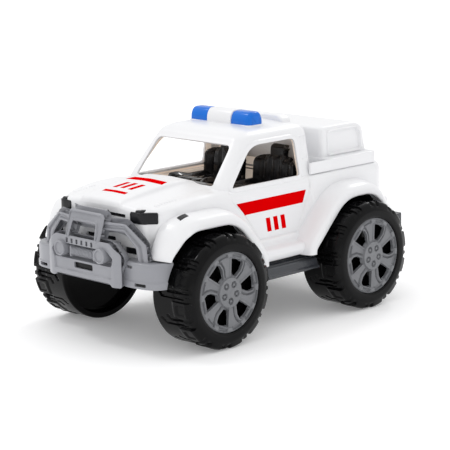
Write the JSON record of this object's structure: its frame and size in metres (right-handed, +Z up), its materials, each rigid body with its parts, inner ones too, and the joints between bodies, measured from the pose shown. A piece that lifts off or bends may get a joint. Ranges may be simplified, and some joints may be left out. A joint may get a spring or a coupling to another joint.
{
  "type": "toy car",
  "caption": "Off-road toy car with an open-window cab, bull-bar bumper, roof light bar, bed canopy and wheels that roll on two steel axles.",
  "frame": {"origin": "centre of the footprint on the ground, below the middle of the car", "axes": "+X towards the front bumper, +Y towards the car's left side, +Z up"},
  "size_m": [0.376, 0.226, 0.2105],
  "materials": {
    "white_plastic": "semi-gloss moulded",
    "blue_lens": "clear tinted gloss",
    "grey_plastic": "satin moulded",
    "rim_plastic": "satin moulded",
    "tyre_plastic": "semi-gloss moulded",
    "slate_plastic": "satin moulded",
    "chassis_plastic": "satin moulded",
    "black_gloss": "gloss moulded",
    "steel": "bright drawn"
  },
  "bodies": {
    "car": {"body_shell": "white_plastic", "rear_canopy": "white_plastic", "lightbar_base": "white_plastic", "beacon_lens_left": "blue_lens", "beacon_lens_right": "blue_lens", "front_bumper": "grey_plastic", "grille_insert": "black_gloss", "headlight_left": "black_gloss", "headlight_right": "black_gloss", "indicator_left": "black_gloss", "indicator_right": "black_gloss", "rear_bumper": "slate_plastic", "side_step_left": "slate_plastic", "side_step_right": "slate_plastic", "chassis_pan": "chassis_plastic", "interior_tub": "white_plastic", "dashboard": "black_gloss", "seat_left": "black_gloss", "seat_right": "black_gloss", "body_screw_front_left": "steel", "body_screw_front_right": "steel", "body_screw_rear_left": "steel", "body_screw_rear_right": "steel", "front_axle_keeper": "chassis_plastic", "front_keeper_screw_1": "steel", "front_keeper_screw_2": "steel", "rear_axle_keeper": "chassis_plastic", "rear_keeper_screw_1": "steel", "rear_keeper_screw_2": "steel"},
    "front_wheels": {"front_axle": "steel", "tyre_front_left": "tyre_plastic", "rim_front_left": "rim_plastic", "tyre_front_right": "tyre_plastic", "rim_front_right": "rim_plastic"},
    "rear_wheels": {"rear_axle": "steel", "tyre_rear_left": "tyre_plastic", "rim_rear_left": "rim_plastic", "tyre_rear_right": "tyre_plastic", "rim_rear_right": "rim_plastic"}
  },
  "joints": [
    {"name": "front_axle_spin", "type": "hinge", "parent": "car", "child": "front_wheels", "pos_m": [0.1, 0, 0.056], "axis": [0, 1, 0], "continuous": true},
    {"name": "rear_axle_spin", "type": "hinge", "parent": "car", "child": "rear_wheels", "pos_m": [-0.108, 0, 0.056], "axis": [0, 1, 0], "continuous": true}
  ]
}
